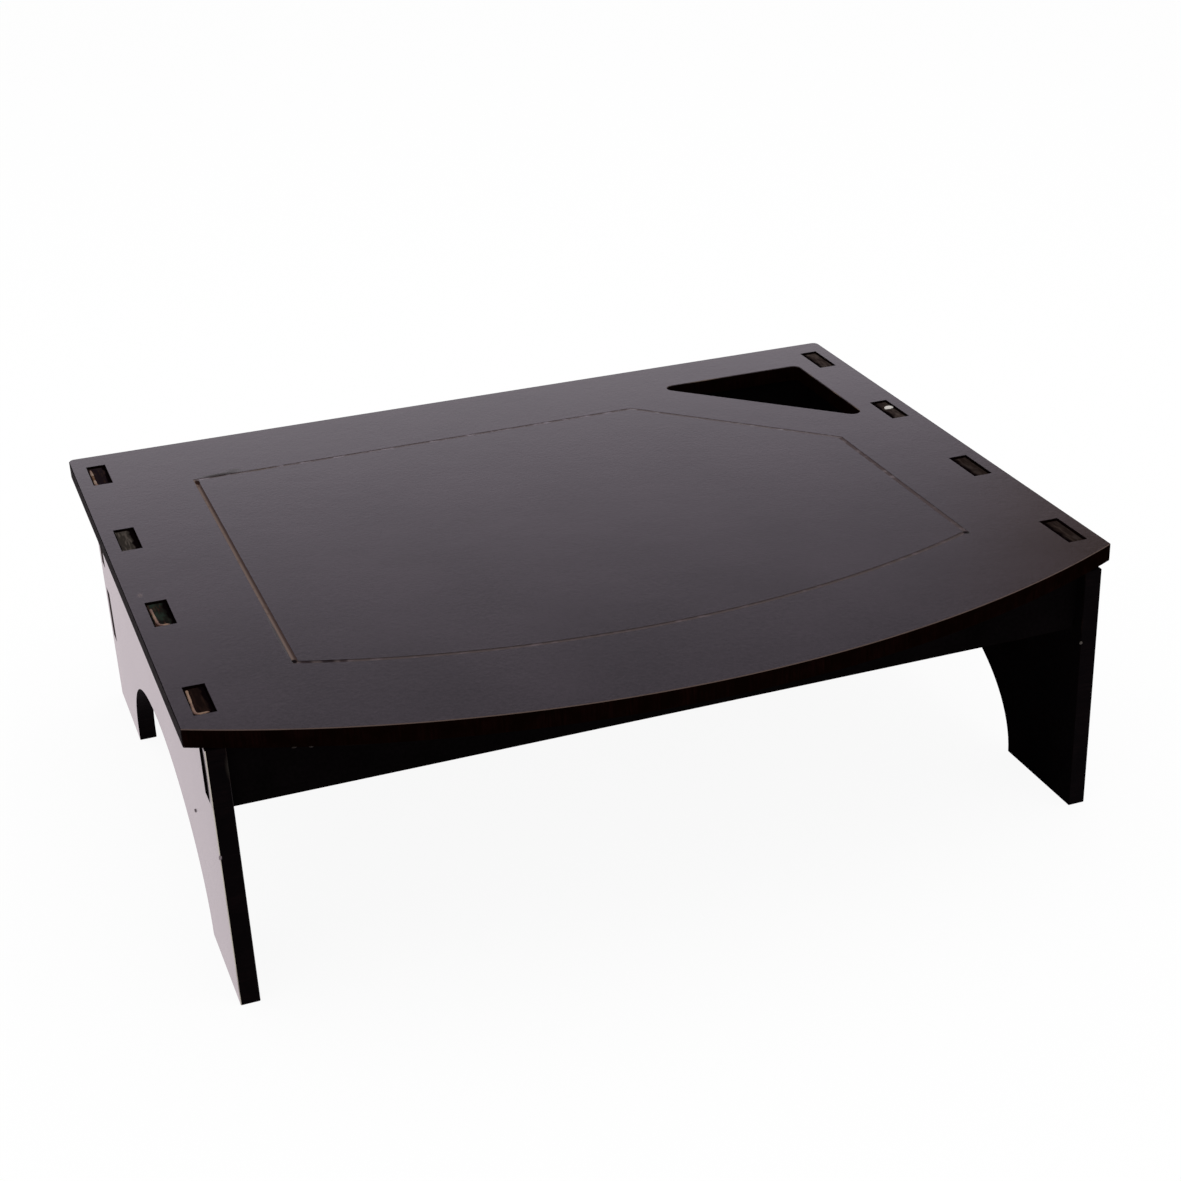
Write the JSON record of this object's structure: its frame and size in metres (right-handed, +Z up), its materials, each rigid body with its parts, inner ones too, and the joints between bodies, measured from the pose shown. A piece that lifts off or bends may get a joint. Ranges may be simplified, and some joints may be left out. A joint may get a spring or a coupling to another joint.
{
  "type": "monitor stand",
  "caption": "Low desk riser for a monitor: a bowed top board with a triangular cable hole on two arched side panels, slotted together with a front rail and a rear panel.",
  "frame": {"origin": "middle of the stand's outline, on the desk under the feet", "axes": "+X to the user's right, along the width; +Y away from the user, towards the straight back edge; +Z up"},
  "size_m": [0.4, 0.342, 0.1245],
  "materials": {
    "board_film": "satin dark grey-brown facing on fibreboard, edges charred by the laser that cut them",
    "panel_film": "satin dark grey-brown facing on fibreboard, edges charred by the laser that cut them",
    "crosspiece_film": "satin dark grey-brown facing on fibreboard, edges charred by the laser that cut them"
  },
  "bodies": {
    "root": {"top_board": "board_film", "left_side_panel": "panel_film", "right_side_panel": "panel_film", "front_rail": "crosspiece_film", "rear_panel": "crosspiece_film"}
  },
  "joints": []
}
